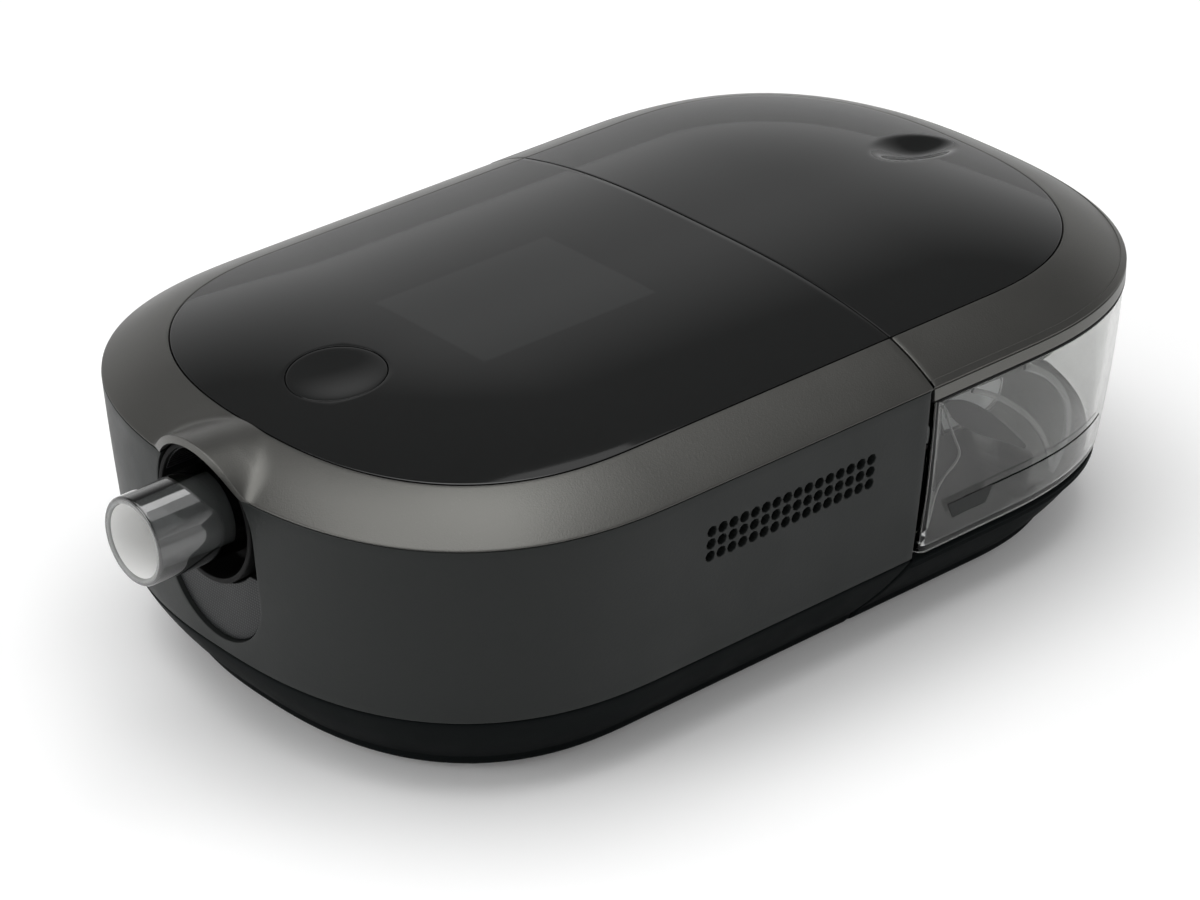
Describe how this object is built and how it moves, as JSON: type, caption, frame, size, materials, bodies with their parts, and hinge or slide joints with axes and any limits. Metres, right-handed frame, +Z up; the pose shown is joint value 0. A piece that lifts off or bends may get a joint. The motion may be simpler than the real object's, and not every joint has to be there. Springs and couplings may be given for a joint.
{
  "type": "cpap machine",
  "caption": "Bedside breathing machine with a domed gloss top, round start button, hooded air outlet, vented side wall and a clear humidifier tank under a hinged lid.",
  "frame": {"origin": "on the ground, under the middle of the overall length and width", "axes": "+X along the machine towards the water tank, the air outlet looks along -X; +Y towards the filter door; +Z up"},
  "size_m": [0.2942, 0.169, 0.0858],
  "materials": {
    "base_plastic": "fine matt grain",
    "wall_plastic": "satin, dark grey",
    "rim_plastic": "satin with a metallic grain",
    "panel_plastic": "high gloss",
    "clear_plastic": "clear, faintly grey",
    "smoke_plastic": "smoky clear",
    "black_plastic": "matt",
    "white_plastic": "matt",
    "rubber": "matt",
    "silicone": "matt, flexible",
    "steel": "satin",
    "heater_alloy": "satin",
    "circuit_board": "semi-matt",
    "foam": "open-cell foam",
    "filter_fibre": "pressed fibre"
  },
  "bodies": {
    "machine": {"base_tray": "base_plastic", "side_shell": "wall_plastic", "top_shell": "rim_plastic", "top_panel": "panel_plastic", "button_spring": "steel", "button_switch": "black_plastic", "control_board": "circuit_board", "display_module": "black_plastic", "outlet_well": "black_plastic", "recess_plate": "wall_plastic", "outlet_tube": "smoke_plastic", "return_channel": "silicone", "blower_duct": "silicone", "blower_base": "white_plastic", "blower_cover": "white_plastic", "blower_motor": "steel", "main_board": "circuit_board", "muffle_foam": "foam", "filter_box": "black_plastic", "fine_filter": "filter_fibre", "pollen_filter": "foam", "power_inlet": "black_plastic", "port_seal_in": "rubber", "port_seal_out": "rubber", "tank_cradle": "base_plastic", "heater_plate": "heater_alloy", "heater_pad": "foam", "blower_mount_1": "rubber", "blower_mount_2": "rubber", "blower_mount_3": "rubber", "foot_1": "rubber", "foot_2": "rubber", "foot_3": "rubber", "foot_4": "rubber", "foot_5": "rubber", "foot_6": "rubber", "case_screw_1": "steel", "case_screw_2": "steel", "case_screw_3": "steel", "case_screw_4": "steel"},
    "button": {"start_button": "panel_plastic"},
    "impeller_body": {"impeller": "white_plastic"},
    "door": {"filter_door": "wall_plastic"},
    "tank": {"water_tank": "clear_plastic", "water_plate": "steel", "air_guide_in": "smoke_plastic", "air_guide_out": "smoke_plastic", "splash_arch": "smoke_plastic", "hinge_pin": "steel"},
    "lid": {"lid_shell": "rim_plastic", "lid_panel": "panel_plastic", "lid_seal": "rubber"}
  },
  "joints": [
    {"name": "button_press", "type": "slide", "parent": "machine", "child": "button", "axis": [0, 0, -1], "range_m": [0, 0.0012], "stiffness_N_per_m": 800, "springref_m": -0.001, "deforming": ["button_spring"]},
    {"name": "impeller_spin", "type": "hinge", "parent": "machine", "child": "impeller_body", "pos_m": [-0.0443, 0.012, 0.033], "axis": [0, 0, 1], "continuous": true},
    {"name": "filter_door_swing", "type": "hinge", "parent": "machine", "child": "door", "pos_m": [-0.0233, 0.08022, 0.0359], "axis": [-1, 0, 0], "range_deg": [0, 85]},
    {"name": "tank_slide", "type": "slide", "parent": "machine", "child": "tank", "axis": [1, 0, 0], "range_m": [0, 0.115]},
    {"name": "lid_swing", "type": "hinge", "parent": "tank", "child": "lid", "pos_m": [0.1441, 0, 0.0639], "axis": [0, 1, 0], "range_deg": [0, 100]}
  ]
}
